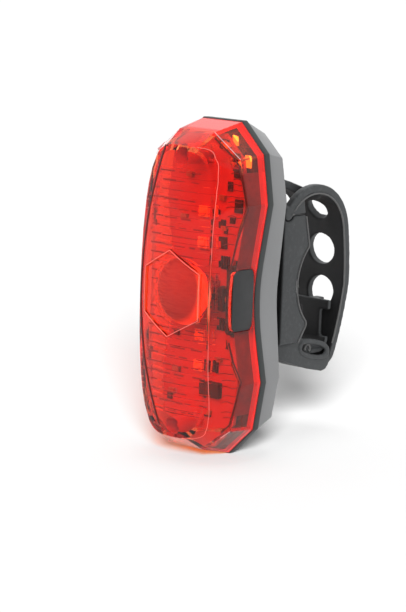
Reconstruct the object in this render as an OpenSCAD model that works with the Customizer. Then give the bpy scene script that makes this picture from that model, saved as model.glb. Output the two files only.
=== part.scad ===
// Bicycle rear light with a rubber strap mount.
// The front faces -Y, the push button is on +X, and the light stands on the flat bottom of its seal.

/* [Cells] */
// Diameter of each cell
cell_d = 10.5; // [9.5:0.1:11.5]
// Length of each cell with its positive cap
cell_l = 44.5; // [42:0.5:47]
// Diameter of the positive cap
cap_d = 3.8; // [3:0.1:4.5]
// Height of the positive cap
cap_h = 1; // [0.8:0.1:1.4]
// Length of the compressed battery spring
spring_l = 3.4; // [3.2:0.1:5]
// Wire thickness of the battery spring
spring_wire = 0.6; // [0.4:0.05:0.6]
// Turns of the battery spring
spring_turns = 2.5; // [2:0.5:2.5]
// Thickness of the contact plates
plate_t = 0.4; // [0.3:0.05:0.6]

/* [Outline] */
// Height of the lens rim
rim_h = 86; // [84:1:98]
// Width of the flats at the top and bottom
flat_w = 13; // [11:0.5:16]
// How far the shoulders stand out beyond the waist, each side
shoulder_out = 1.2; // [0.6:0.1:2]
// Height of the corner facets
facet_h = 7.6; // [6:0.1:9]
// How far the bulges stand out beyond the waist, each side
bulge_out = 3.2; // [2.6:0.1:4]
// Height between the bulges
bulge_h = 45.8; // [42:0.2:50]
// How far the waist sits below the middle
waist_drop = 1.4; // [0:0.1:3]
// Radius of the waist
waist_r = 55; // [48:1:70]

/* [Lens] */
// Wall of the lens
lens_wall = 1.5; // [1.2:0.1:1.7]
// Depth from the rim to the crown of the front
lens_depth = 18.3; // [18:0.1:22]
// Depth of the side wall at the flats
edge_flat = 9.6; // [9:0.1:11]
// Depth of the side wall at the shoulders
edge_shoulder = 8.8; // [8:0.1:10]
// Depth of the side wall at the bulges
edge_bulge = 7.4; // [6.8:0.1:8.4]
// Depth of the side wall at the waist
edge_waist = 10.6; // [10.4:0.1:12]
// How much the flats slope inwards towards the front
flat_drop = 2.2; // [1.6:0.1:2.6]
// Width of the front panel
panel_w = 23.8; // [22.8:0.1:24.4]
// Distance from the flats to the front panel's ends
panel_in = 5.6; // [5:0.1:7]
// Squareness of the front panel's outline
panel_power = 3.7; // [3:0.1:4.5]
// Radius of the crown across the front
crown_r = 30; // [28:1:40]
// Radius of the crown along the front
crown_long_r = 280; // [240:10:400]
// Width of the raised hexagon
hexagon_w = 19; // [16:0.5:20]
// Height of the raised hexagon
hexagon_h = 22.8; // [20:0.2:26]
// Length of the hexagon's upright sides
hexagon_side = 12; // [10:0.5:14]
// Width of the raised line
line_w = 0.7; // [0.5:0.1:1]
// Height of the raised line
line_h = 0.4; // [0.2:0.1:0.6]
// Diameter of the screw posts
post_d = 4.4; // [4:0.1:5]
// Distance from the flats to the screw posts
post_in = 8.5; // [8:0.1:10]

/* [Optics] */
// Thickness of the prism insert
insert_t = 1; // [0.8:0.1:1.4]
// Height of each rib on the insert
rib_h = 1.6; // [1:0.1:2]
// Depth of each rib on the insert
rib_t = 0.8; // [0.5:0.1:1]
// Distance from rib to rib
rib_pitch = 3.3; // [2.8:0.1:4]
// Width of the bull's-eye lens
eye_d = 17.2; // [15:0.1:18]
// Width of the bull's-eye lens at its foot
eye_foot_d = 8; // [7.4:0.1:8.4]
// Width of the hollow over the centre light
eye_bore_d = 6; // [5.4:0.1:6.4]

/* [Electronics] */
// Thickness of the circuit board
board_t = 1; // [0.8:0.1:1.6]
// Distance from the rim back to the board's rear face
board_set = 4.1; // [3.9:0.1:4.6]
// Size of the centre light's base
led_w = 3.5; // [3:0.1:3.7]
// Height of a light's base
led_base_t = 0.9; // [0.6:0.1:1.1]
// Diameter of the small lights' domes
small_led_d = 2.4; // [2:0.1:3]
// Distance between neighbouring small lights
small_led_pitch = 8; // [7:0.5:9]
// Length of the driver chip
chip_l = 6; // [4:0.5:7]
// Width of the driver chip
chip_w = 4; // [3:0.1:5]
// Height of the driver chip
chip_t = 1.6; // [1:0.1:2]
// Diameter of the board screws
screw_d = 1.9; // [1.6:0.1:2.2]
// Depth of the switch, from the board's face
switch_t = 3.5; // [3:0.1:3.8]
// Height of the switch
switch_h = 6; // [5:0.5:8]
// Width of the switch
switch_w = 2.6; // [2.2:0.1:2.8]
// Diameter of the switch plunger
plunger_d = 1.8; // [1.4:0.1:2.2]

/* [Button] */
// Width of the button
button_w = 7.9; // [7:0.1:8.2]
// Height of the button
button_h = 15.6; // [13:0.2:17]
// Corner radius of the button
button_r = 1.5; // [1:0.1:2]
// Travel of the button
button_travel = 0.8; // [0.5:0.1:1]
// How far the button stands proud
button_proud = 0.3; // [0.1:0.1:0.6]
// Width of the button's flange, above and below
flange_w = 1.2; // [0.8:0.1:1.6]
// Thickness of the button's flange
flange_t = 0.8; // [0.6:0.1:0.9]

/* [Seal and housing] */
// Thickness of the seal
seal_t = 2; // [1.6:0.1:2.6]
// How far the seal stands proud of the rim
seal_lip = 0.3; // [0.1:0.1:0.6]
// Wall of the housing
housing_wall = 1.4; // [1.2:0.1:1.8]
// Height of the domed back behind the side wall
dome_h = 2.3; // [2:0.1:3]
// How much the housing draws in at the flats
taper_flat = 3.4; // [2:0.1:4]
// How much the housing draws in at the sides
taper_side = 1.5; // [0.8:0.1:1.8]
// How much the housing draws in at the waist
taper_waist = 0.2; // [0.1:0.05:0.3]
// Wall of the battery tray round the cells
cradle_wall = 0.5; // [0.5:0.05:0.8]
// Wall of the tray's rim inside the lens
spigot_wall = 1; // [0.8:0.1:1.2]
// How far the tray's rim reaches into the lens
spigot_l = 3.5; // [2.5:0.1:3.6]

/* [Strap mount] */
// Width of the bracket
bracket_w = 11; // [9:0.5:13]
// Depth of the bracket behind the housing
bracket_t = 6.1; // [5:0.1:8]
// Diameter of the bracket screws
bolt_d = 2.5; // [2:0.1:3]
// Distance between the bracket screws
bolt_span = 20; // [16:0.5:24]
// Width of the saddle and the strap
strap_w = 15; // [13:0.5:17]
// Thickness of the saddle under its hollow seat
saddle_t = 6.5; // [5.5:0.1:8]
// Height of the strap's root above the middle
root_z = 18.1; // [17:0.1:19]
// Height of the saddle's foot below the middle
foot_z = 17; // [16.5:0.1:18]
// Radius of the seat for the seat post
seat_r = 13.8; // [12.7:0.1:15.9]
// Distance between the middles of the saddle's lips
lip_span = 21.4; // [19:0.1:22]
// Radius of the saddle's rounded lips
lip_r = 1.5; // [1:0.1:2]
// Height of the middle of the seat below the middle of the light
seat_drop = 1.5; // [0.4:0.1:2.4]
// Thickness of the strap
strap_t = 2.4; // [2:0.1:2.8]
// Outer radius of the strap's arch
arch_r = 14.5; // [14:0.1:16]
// Outer radius of the strap's long back
back_r = 90; // [80:1:110]
// Outer radius of the strap's heel
heel_r = 5; // [4.6:0.1:5.6]
// Length of the strap's end past the heel
tail_l = 5; // [4:0.1:5]
// Diameter of the bead at the strap's root
bead_d = 3.8; // [3.2:0.1:4]
// How far the strap widens towards its back, each side
flare_out = 0.6; // [0:0.1:1]
// Width of the strap's end at the hook
end_w = 11; // [9:0.1:14]
// Diameter of the strap's holes
hole_d = 8.5; // [7.5:0.1:9]
// Diameter of the hole on the arch
top_hole_d = 6.2; // [5:0.1:7]
// Distance from hole to hole
hole_pitch = 11.9; // [11:0.1:12.2]
// Width of the opening at the strap's root
slot_w = 11; // [9:0.1:11.4]
// Length of the opening at the strap's root
slot_l = 19.3; // [15:0.1:20]
// Width of the hook's cup
cup_w = 11; // [10.5:0.1:12.5]
// Wall of the hook
hook_t = 1.5; // [1.3:0.1:2]
// Width of the chin under the hook's cup
chin_w = 10; // [8:0.5:12]
// Width of the hook's tongue
tongue_w = 6.4; // [5:0.1:8]
// Width of the tongue's head
head_w = 12; // [8:0.5:12.5]
// Width of the hook's finger
finger_w = 3; // [2.4:0.1:3.4]
// Thickness of the hook's finger
finger_t = 1.5; // [1.2:0.1:1.6]

/* [Hidden] */
$fn = 64;

// How far a cutting shape runs past a face
past = 1;

// Clearances
slip = 0.2;
seal_gap = 0.1;
lens_gap = 0.3;
touch = 0.1;
cell_clear = 0.1;

// Share of an inset that each corner of the outline takes
flat_share = 0.41;
shoulder_share = 0.94;
shoulder_fall = 0.48;

// Points along each stretch of the outline
flat_steps = 2;
facet_steps = 3;
side_steps = 3;
ramp_steps = 2;
waist_steps = 6;
top_stations = flat_steps + facet_steps;
flat_angle = 79;

// Places along Y
rim_y = -seal_t / 2 - seal_gap;
board_back = rim_y - board_set;
board_front = board_back - board_t;
cell_fore = 0.9;
cell_y = rim_y - cell_fore + cell_d / 2;
cradle_r = cell_d / 2 + cell_clear + cradle_wall;
dome_y = cell_y + cradle_r + slip + housing_wall;
edge_y = dome_y - dome_h;
bracket_back = dome_y + bracket_t;

// Half widths of the outline, set by the two cells side by side
waist_x = cell_d + cell_clear + cradle_wall + slip + taper_waist + housing_wall;
bulge_x = waist_x + bulge_out;
shoulder_x = waist_x + shoulder_out;

// Heights tied to the rim
shoulder_h = rim_h - 2 * facet_h;
panel_h = rim_h - 2 * panel_in;
post_z = rim_h / 2 - post_in;

// Battery bay
cell_x = cell_d / 2;
bay_h = (cell_l + spring_l) / 2;
end_wall = 1.2;
tray_h = bay_h + plate_t + end_wall;

// Height of the middle of the light above the surface that it stands on
mid_z = rim_h / 2 + seal_lip;

// Strap path in the YZ plane, from its root over the arch and down the back to the heel
arch_start = 146;
arch_end = 10;
arc_steps = 16;
arch_mid = arch_r - strap_t / 2;
back_mid = back_r - strap_t / 2;
root_in = 1.9;
root = [bracket_back + root_in, root_z];
arch_c = root - arch_mid * [cos(arch_start), sin(arch_start)];
back_c = arch_c + (arch_r - back_r) * [cos(arch_end), sin(arch_end)];
tail_clear = 2;
cup_r = 4;
cup_drop = 0.5;
heel_z = -foot_z - cup_drop - cup_r - tail_clear - strap_t + heel_r;
back_end = asin((heel_z - back_c.y) / (back_r - heel_r));
heel_c = back_c + (back_r - heel_r) * [cos(back_end), sin(back_end)];
back_l = back_mid * (arch_end - back_end) * PI / 180;
arch_l = arch_mid * (arch_start - arch_end) * PI / 180;
first_hole = 16;
hole_places = [[first_hole, hole_d], [first_hole + hole_pitch, hole_d],
               [first_hole + 2 * hole_pitch, top_hole_d]];

// Saddle seat
seat_c = [bracket_back + saddle_t + seat_r, -seat_drop];
lip_y = seat_c.x - sqrt(pow(seat_r + lip_r, 2) - lip_span * lip_span / 4);

// Turn in degrees about a quarter
quarter = 90;

function span(p, q, m) = [for (i = [0:m - 1]) p + (q - p) * i / m];
function ease(p, q, m) = [for (i = [0:m - 1]) p + (q - p) * sin(quarter * i / m)];
function reversed(list) = [for (i = [len(list) - 1:-1:0]) list[i]];
function arc(c, r, a0, a1, m) =
    [for (i = [0:m]) let (a = a0 + (a1 - a0) * i / m) c + r * [cos(a), sin(a)]];

// Arc of the waist between its tangents from the upper and the lower bulge
function waist_arc(bx, bz, wx) =
    let (c = [wx + waist_r, -waist_drop], up = [bx, bz] - c, down = [bx, -bz] - c)
    arc(c, waist_r, atan2(up.y, up.x) + acos(waist_r / norm(up)),
        360 + atan2(down.y, down.x) - acos(waist_r / norm(down)), waist_steps);

// Right half of an outline, from the top middle down to the bottom middle
function half_outline(h, fx, sx, sz, bx, bz, wx) =
    let (w = waist_arc(bx, bz, wx))
    concat(span([0, h], [fx, h], flat_steps), span([fx, h], [sx, sz], facet_steps),
           span([sx, sz], [bx, bz], side_steps), span([bx, bz], w[0], ramp_steps),
           w, reversed(span([bx, -bz], w[waist_steps], ramp_steps)),
           reversed(span([sx, -sz], [bx, -bz], side_steps)),
           reversed(span([fx, -h], [sx, -sz], facet_steps)),
           reversed(span([0, -h], [fx, -h], flat_steps)));

// The outline drawn in by d all round, and by a further dz at the flats
function outline(d, dz = 0) =
    half_outline(rim_h / 2 - d - dz, flat_w / 2 - d * flat_share, shoulder_x - d * shoulder_share,
                 shoulder_h / 2 - (d + dz) * shoulder_fall, bulge_x - d, bulge_h / 2, waist_x - d);

// The outline at the back edge of the housing's side wall, drawn in by d
function back_outline(d) =
    half_outline(rim_h / 2 - taper_flat - d, flat_w / 2 - d * flat_share,
                 shoulder_x - taper_side - d * shoulder_share,
                 shoulder_h / 2 - taper_side - d * shoulder_fall,
                 bulge_x - taper_side - d, bulge_h / 2, waist_x - taper_waist - d);

// Depth of the side wall at each point of the outline
function edge_depths() =
    let (upper = concat(span(edge_flat, edge_flat, flat_steps), span(edge_flat, edge_shoulder, facet_steps),
                        span(edge_shoulder, edge_bulge, side_steps),
                        ease(edge_bulge, edge_waist, ramp_steps)))
    concat(upper, [for (i = [0:waist_steps]) edge_waist], reversed(upper));

// Front surface of the lens and the outline of its front panel
function front_y(x, z) = rim_y - lens_depth + x * x / (2 * crown_r) + z * z / (2 * crown_long_r);
function panel_x(z, a, b) = a * pow(1 - pow(abs(z) / b, panel_power), 1 / panel_power);
function panel_at(t, a, b) = [a * pow(cos(t), 2 / panel_power), b * pow(sin(t), 2 / panel_power)];
function half_panel(side, a, b) =
    let (n = len(side), last = top_stations, z_last = side[last].y * b / (panel_h / 2),
         t_last = acos(pow(panel_x(z_last, a, b) / a, panel_power / 2)),
         top = concat([for (t = span(quarter, flat_angle, flat_steps)) panel_at(t, a, b)],
                      [for (t = span(flat_angle, t_last, facet_steps)) panel_at(t, a, b)]),
         middle = [for (i = [last:n - 1 - last])
                       let (z = side[i].y * b / (panel_h / 2)) [panel_x(z, a, b), z]])
    concat(top, middle, reversed([for (p = top) [p.x, -p.y]]));

// A closed loop from its right half, and loops placed in space
function both_sides(half) = concat(half, [for (i = [len(half) - 2:-1:1]) [-half[i].x, half[i].y]]);
function at_y(loop, y) = [for (p = loop) [p.x, y, p.y]];
function on_front(loop, k, back) = [for (p = loop) [p.x * k, front_y(p.x * k, p.y * k) + back, p.y * k]];

// A closed skin through rings of points, with a middle point over each end
module skin(rings, first, last) {
    n = len(rings[0]);
    m = len(rings);
    points = concat([for (r = rings) each r], [first, last]);
    faces = concat(
        [for (i = [0:n - 1]) [m * n, i, (i + 1) % n]],
        [for (k = [0:m - 2], i = [0:n - 1])
            each let (a = k * n + i, b = k * n + (i + 1) % n) [[a, a + n, b + n], [a, b + n, b]]],
        [for (i = [0:n - 1]) [m * n + 1, (m - 1) * n + (i + 1) % n, (m - 1) * n + i]]);
    polyhedron(points, faces);
}

// A closed band through four or more loops that meet end to end
module band(loops) {
    n = len(loops[0]);
    m = len(loops);
    faces = [for (k = [0:m - 1], i = [0:n - 1])
        let (j = (i + 1) % n, next = ((k + 1) % m) * n)
        each [[k * n + i, next + i, next + j], [k * n + i, next + j, k * n + j]]];
    polyhedron([for (l = loops) each l], faces);
}

// Raises a piece so that the seal's bottom is at height zero
module stand() {
    translate([0, 0, mid_z]) children();
}

// A prism along Y between two depths, and a prism across X of one width
module slab(y0, y1) {
    translate([0, y1, 0]) rotate([90, 0, 0]) linear_extrude(height = y1 - y0) children();
}

module across(w) {
    translate([-w / 2, 0, 0]) rotate([90, 0, 90]) linear_extrude(height = w) children();
}

// A cylinder along Y that starts at depth y
module rod(x, y, z, l, d) {
    translate([x, y, z]) rotate([-90, 0, 0]) cylinder(h = l, d = d);
}

// A block between two opposite corners
module block(low, high) {
    translate(low) cube(high - low);
}

module rounded(w, h, r) {
    square([w - 2 * r, h], center = true);
    square([w, h - 2 * r], center = true);
    for (x = [-1, 1], y = [-1, 1]) translate([x * (w / 2 - r), y * (h / 2 - r)]) circle(r);
}

// A rounded block that points along X, centred on the button
button_edge = 0.9;
button_y = rim_y - button_edge - button_w / 2;

module push_block(x0, x1, w, h, r) {
    translate([x0, button_y, -waist_drop]) rotate([90, 0, 90])
        linear_extrude(height = x1 - x0) rounded(w, h, r);
}

// Lens
post_bore = screw_d + touch;
post_depth = 5;
corner_in = 0.7;
crown_steps = [0.25, 0.5, 0.75, 1];

// Front edge of the lens's side wall, drawn in by d
function half_edge(d) =
    half_outline(rim_h / 2 - flat_drop - d, flat_w / 2 - corner_in - d * flat_share,
                 shoulder_x - slip - d * shoulder_share, shoulder_h / 2 - corner_in - d * shoulder_fall,
                 bulge_x - touch - d, bulge_h / 2, waist_x - touch - d);
function edge_loop(d, back) =
    let (loop = both_sides(half_edge(d)), depths = both_sides([for (e = edge_depths()) [0, e]]))
    [for (i = [0:len(loop) - 1]) [loop[i].x, rim_y - depths[i].y + back, loop[i].y]];

module lens_shell() {
    panel = both_sides(half_panel(half_edge(0), panel_w / 2, panel_h / 2));
    inner = both_sides(half_panel(half_edge(0), panel_w / 2 - lens_wall, panel_h / 2 - lens_wall));
    outer_rings = [for (k = crown_steps) on_front(panel, k, 0)];
    inner_rings = [for (k = reversed(crown_steps)) on_front(inner, k, lens_wall)];
    skin(concat(outer_rings, [edge_loop(0, 0), at_y(both_sides(outline(0)), rim_y),
                              at_y(both_sides(outline(lens_wall)), rim_y),
                              edge_loop(lens_wall, lens_wall / 2)], inner_rings),
         [0, front_y(0, 0), 0], [0, front_y(0, 0) + lens_wall, 0]);
}

function hexagon_loop(w, h, side, lift) =
    let (corners = [[0, h / 2], [w / 2, side / 2], [w / 2, -side / 2],
                    [0, -h / 2], [-w / 2, -side / 2], [-w / 2, side / 2]])
    [for (i = [0:5]) each [for (p = span(corners[i], corners[(i + 1) % 6], side_steps))
        [p.x, front_y(p.x, p.y) - lift, p.y]]];

module hexagon_line() {
    w = hexagon_w - 2 * line_w;
    h = hexagon_h - 2 * line_w;
    side = hexagon_side - line_w;
    sunk = -lens_wall / 2;
    band([hexagon_loop(hexagon_w, hexagon_h, hexagon_side, line_h),
          hexagon_loop(hexagon_w, hexagon_h, hexagon_side, sunk),
          hexagon_loop(w, h, side, sunk), hexagon_loop(w, h, side, line_h)]);
}

module lens() {
    color("red", 0.7) stand() difference() {
        union() {
            lens_shell();
            hexagon_line();
            for (z = [-post_z, post_z]) {
                post_y = front_y(0, z) + lens_wall / 2;
                rod(0, post_y, z, board_front - post_y, post_d);
            }
        }
        for (z = [-post_z, post_z])
            rod(0, board_front - post_depth, z, post_depth + past, post_bore);
        push_block(waist_x - 2 * lens_wall, waist_x + lens_wall, button_w + 2 * slip, button_h + 2 * slip,
                   button_r + slip);
    }
}

// Optics
insert_gap = 1;
insert_h = 2 * (post_z - insert_gap) - post_d;
insert_w = panel_w - 2 * lens_wall - 2 * slip;
insert_y = front_y(0, insert_h / 2) + lens_wall + lens_gap;
eye_front = insert_y - insert_t / 2;
eye_foot_h = 0.8;
eye_room = 0.6;
eye_dome_r = 14;

module crown_band(y0, t) {
    outer = crown_r - lens_wall - lens_gap;
    intersection() {
        difference() {
            translate([0, y0 + outer]) circle(outer);
            translate([0, y0 + outer]) circle(outer - t);
        }
        translate([-insert_w / 2, y0 - past]) square([insert_w, insert_w]);
    }
}

module insert_plate() {
    rib_count = floor((insert_h / 2 - rib_h) / rib_pitch);
    translate([0, 0, -insert_h / 2]) linear_extrude(height = insert_h) crown_band(insert_y, insert_t);
    for (i = [-rib_count:rib_count])
        translate([0, 0, i * rib_pitch - rib_h / 2]) linear_extrude(height = rib_h)
            crown_band(insert_y, insert_t + rib_t);
}

module prism_insert() {
    end_h = panel_h / 2 - lens_wall - slip;
    color("orangered", 0.6) stand() difference() {
        intersection() {
            insert_plate();
            slab(insert_y - past, insert_y + insert_w)
                polygon(both_sides(half_panel(half_edge(0), insert_w / 2, end_h)));
        }
        rod(0, insert_y - past, 0, lens_depth, eye_d + 2 * slip);
    }
}

module collimator() {
    foot_y = board_front;
    front_l = foot_y - eye_front;
    rise = eye_dome_r - sqrt(eye_dome_r * eye_dome_r - eye_d * eye_d / 4);
    color("red", 0.6) stand() translate([0, foot_y, 0]) rotate([90, 0, 0]) difference() {
        union() {
            cylinder(h = eye_foot_h, d = eye_foot_d);
            translate([0, 0, eye_foot_h])
                cylinder(h = front_l - eye_foot_h - rise, d1 = eye_foot_d, d2 = eye_d);
            intersection() {
                translate([0, 0, front_l - eye_dome_r]) sphere(eye_dome_r);
                translate([0, 0, front_l - rise]) cylinder(h = rise + past, d = eye_d);
            }
        }
        translate([0, 0, -past]) cylinder(h = past + led_base_t + led_w / 2 + eye_room, d = eye_bore_d);
    }
}

// Electronics
board_gap = 1.7;
board_inset = lens_wall + board_gap;
button_in = waist_x - lens_wall - slip - flange_t - button_travel;
notch_gap = 1;
notch_h = button_h + 2 * flange_w + 2 * notch_gap;
chip_x = 1.4;
chip_z = -25.6;
part_size = [2, 1, 1.2];
part_places = [[-7.4, -22], [-8.6, -28], [3.4, -32], [6.6, 16.4],
               [-6.5, 18], [5.5, 24], [-5, 29], [6.2, -17.5]];

module circuit_board() {
    color("darkred") stand() difference() {
        slab(board_front, board_back) polygon(both_sides(outline(board_inset)));
        for (z = [-post_z, post_z]) rod(0, board_front - past, z, board_t + 2 * past, screw_d + 2 * slip);
        block([button_in - lens_gap, board_front - past, -waist_drop - notch_h / 2],
              [waist_x, board_back + past, -waist_drop + notch_h / 2]);
    }
}

module centre_led() {
    color("lightyellow") stand() translate([0, board_front, 0]) rotate([90, 0, 0]) {
        translate([-led_w / 2, -led_w / 2, 0]) cube([led_w, led_w, led_base_t]);
        translate([0, 0, led_base_t]) intersection() {
            sphere(d = led_w - 2 * slip);
            cylinder(h = led_w, d = led_w);
        }
    }
}

module small_leds() {
    first = eye_foot_d / 2 + small_led_pitch;
    color("lightyellow") stand() for (s = [-1, 1], i = [0, 1])
        translate([0, board_front, s * (first + i * small_led_pitch)]) rotate([90, 0, 0]) {
            base = small_led_d + 2 * slip;
            translate([-base / 2, -base / 2, 0]) cube([base, base, led_base_t]);
            translate([0, 0, led_base_t]) intersection() {
                sphere(d = small_led_d);
                cylinder(h = small_led_d, d = small_led_d);
            }
        }
}

module driver_chip() {
    color("dimgray") stand()
        block([chip_x, board_front - chip_t, chip_z - chip_w / 2],
              [chip_x + chip_l, board_front, chip_z + chip_w / 2]);
}

module chip_parts() {
    color("tan") stand() for (p = part_places)
        block([p.x - part_size.x / 2, board_front - part_size.y, p.y - part_size.z / 2],
              [p.x + part_size.x / 2, board_front, p.y + part_size.z / 2]);
}

plunger_y = board_front - switch_t / 2;
switch_gap = 0.6;
switch_x = button_in - switch_gap;

module switch_body() {
    color("black") stand() difference() {
        block([switch_x - switch_w, board_front - switch_t, -waist_drop - switch_h / 2],
              [switch_x, board_front, -waist_drop + switch_h / 2]);
        translate([switch_x - button_travel - slip, plunger_y, -waist_drop]) rotate([0, 90, 0])
            cylinder(h = switch_w, d = plunger_d + 2 * touch);
    }
}

module switch_plunger() {
    color("white") stand() translate([switch_x + touch, plunger_y, -waist_drop]) rotate([0, 90, 0])
        cylinder(h = button_in + button_travel - switch_x - touch, d = plunger_d);
}

module button() {
    flange_in = button_in + button_travel;
    color("black") stand() union() {
        push_block(flange_in + flange_t / 2, waist_x + button_proud, button_w, button_h, button_r);
        push_block(flange_in, flange_in + flange_t, button_w, button_h + 2 * flange_w, button_r);
    }
}

screw_l = 4;

module board_screws() {
    head_t = 1.1;
    color("silver") stand() for (z = [-post_z, post_z]) {
        rod(0, board_front - screw_l, z, screw_l + board_t, screw_d);
        rod(0, board_back, z, head_t, 2 * screw_d);
    }
}

// Seal and housing
module seal() {
    color("black") stand() slab(-seal_t / 2, seal_t / 2) difference() {
        polygon(both_sides(outline(-seal_lip)));
        polygon(both_sides(outline(lens_wall + touch)));
    }
}

plateau_in = 5.5;
dome_bend = 0.7;

module housing_shell() {
    front = seal_t / 2;
    skin([at_y(both_sides(back_outline(plateau_in)), dome_y - housing_wall),
          at_y(both_sides(back_outline(dome_h + housing_wall / 2)), dome_y - dome_bend - housing_wall),
          at_y(both_sides(back_outline(housing_wall)), edge_y - housing_wall / 2),
          at_y(both_sides(outline(housing_wall)), front),
          at_y(both_sides(outline(0)), front),
          at_y(both_sides(back_outline(0)), edge_y),
          at_y(both_sides(back_outline(dome_h)), dome_y - dome_bend),
          at_y(both_sides(back_outline(plateau_in)), dome_y)],
         [0, dome_y - housing_wall, 0], [0, dome_y, 0]);
}

bolt_z = bolt_span / 2;
bolt_end = 1;
bolt_l = housing_wall + bracket_t - bolt_end;
bolt_head_t = 1.2;
bolt_head_d = 3.6;

module housing() {
    color("darkgray") stand() difference() {
        housing_shell();
        for (z = [-bolt_z, bolt_z])
            rod(0, dome_y - housing_wall - past, z, housing_wall + 2 * past, bolt_d + 2 * touch);
    }
}

// Battery tray and contacts
spigot_inset = lens_wall + lens_gap;
spigot_drop = 1;
deck_y = seal_t / 2 + slip;
deck_t = 1;

module cells_space(d, h) {
    for (x = [-cell_x, cell_x]) translate([x, cell_y, -h / 2]) cylinder(h = h, d = d);
}

module battery_tray() {
    spigot_y = rim_y - spigot_l;
    tray_back = cell_y + cradle_r;
    color("black") stand() difference() {
        union() {
            slab(spigot_y, deck_y) difference() {
                polygon(both_sides(outline(spigot_inset, spigot_drop)));
                polygon(both_sides(outline(spigot_inset + spigot_wall, spigot_drop)));
            }
            slab(deck_y - deck_t, deck_y) polygon(both_sides(outline(spigot_inset, spigot_drop)));
            intersection() {
                cells_space(2 * cradle_r, 2 * tray_h);
                block([-bulge_x, deck_y - deck_t, -tray_h], [bulge_x, tray_back, tray_h]);
            }
            block([-cell_x, deck_y - deck_t, -tray_h], [cell_x, tray_back, tray_h]);
        }
        cells_space(cell_d + 2 * cell_clear, 2 * (bay_h + plate_t));
        block([-cell_d - cell_clear, cell_y - cell_d, -bay_h - plate_t],
              [cell_d + cell_clear, cell_y, bay_h + plate_t]);
        block([-cell_x, cell_y, -bay_h - plate_t], [cell_x, cell_y + plate_w / 2 + touch, -bay_h]);
        for (z = [-bolt_z, bolt_z])
            rod(0, tray_back - bolt_head_t - slip, z, bolt_head_t + past, bolt_head_d + 2 * slip);
        block([0, spigot_y - past, -waist_drop - notch_h / 2],
              [bulge_x, deck_y - deck_t, -waist_drop + notch_h / 2]);
    }
}

module cell(x, low) {
    translate([x, cell_y, low]) {
        cylinder(h = cell_l - cap_h, d = cell_d);
        cylinder(h = cell_l, d = cap_d);
    }
}

module cell_right() {
    color("steelblue") stand() cell(cell_x, bay_h - cell_l);
}

module cell_left() {
    color("steelblue") stand() rotate([0, 180, 0]) cell(cell_x, bay_h - cell_l);
}

// Conical battery spring, one unbroken tube from the plate to the cell
spring_r0 = 3.4;
spring_r1 = 2;
spring_rings = 8;
spring_sides = 6;
spring_n = spring_turns * spring_rings;

function coil_at(i) =
    let (f = i / spring_n, r = spring_r0 + (spring_r1 - spring_r0) * f, a = 360 * i / spring_rings)
    [r * cos(a), r * sin(a), spring_wire / 2 + f * (spring_l - spring_wire)];

module coil() {
    rings = [for (i = [0:spring_n])
        let (c = coil_at(i), a = 360 * i / spring_rings, out = [cos(a), sin(a), 0])
        [for (s = [0:spring_sides - 1])
            let (b = 360 * s / spring_sides) c + spring_wire / 2 * (cos(b) * out + sin(b) * [0, 0, 1])]];
    skin(rings, coil_at(0), coil_at(spring_n));
}

coil_gap = min([for (i = [0:spring_n], j = [0:spring_n]) if (j - i >= spring_rings)
    norm(coil_at(j) - coil_at(i))]) - spring_wire;
echo(battery_spring_gap = coil_gap);

module battery_springs() {
    color("silver") stand() for (s = [-1, 1])
        rotate([0, s > 0 ? 0 : 180, 0]) translate([cell_x, cell_y, -bay_h]) coil();
}

plate_edge = 1.5;
plate_w = cell_d - 2 * plate_edge;
tab_w = 2;

module contact_plate(x) {
    block([x - plate_w / 2, cell_y - plate_w / 2, bay_h],
          [x + plate_w / 2, cell_y + plate_w / 2, bay_h + plate_t]);
    block([x - tab_w / 2, board_back + touch, bay_h], [x + tab_w / 2, cell_y, bay_h + plate_t]);
}

module positive_contact() {
    color("gold") stand() contact_plate(cell_x);
}

module negative_contact() {
    color("gold") stand() contact_plate(-cell_x);
}

module series_bridge() {
    w = cell_x + plate_w / 2;
    color("gold") stand()
        block([-w, cell_y - plate_w / 2, -bay_h - plate_t], [w, cell_y + plate_w / 2, -bay_h]);
}

// Solder tabs, on the board along the edge of its upper facet
tab_l = 2.2;
tab_in = 0.9;
tab_shares = [0.35, 0.95];

module solder_tabs() {
    edge = outline(board_inset);
    upper = edge[flat_steps];
    lower = edge[top_stations];
    turn = atan2(upper.y - lower.y, lower.x - upper.x);
    color("gold") stand() for (f = tab_shares) {
        p = upper + (lower - upper) * f - tab_in * [sin(turn), cos(turn)];
        translate([p.x, 0, p.y]) rotate([0, turn, 0])
            block([-tab_w / 2, board_front - tab_l, -plate_t], [tab_w / 2, board_front, plate_t]);
    }
}

// Strap mount
bracket_drop = 2.2;
chin_t = 2.6;
bracket_top = root_z - bracket_drop;
bracket_foot = foot_z + chin_t;

module bracket() {
    color("black") stand() difference() {
        block([-bracket_w / 2, dome_y, -bracket_foot], [bracket_w / 2, bracket_back, bracket_top]);
        for (z = [-bolt_z, bolt_z])
            rod(0, dome_y - past, z, bracket_t - bolt_end / 2 + past, bolt_d + touch);
    }
}

module bracket_screws() {
    color("silver") stand() for (z = [-bolt_z, bolt_z]) {
        rod(0, dome_y - housing_wall, z, bolt_l, bolt_d);
        rod(0, dome_y - housing_wall - bolt_head_t, z, bolt_head_t, bolt_head_d);
    }
}

lip_turn_up = 12;
lip_turn_down = -28;
foot_in = 1.5;
saddle_top = root_z - 0.8;

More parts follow.
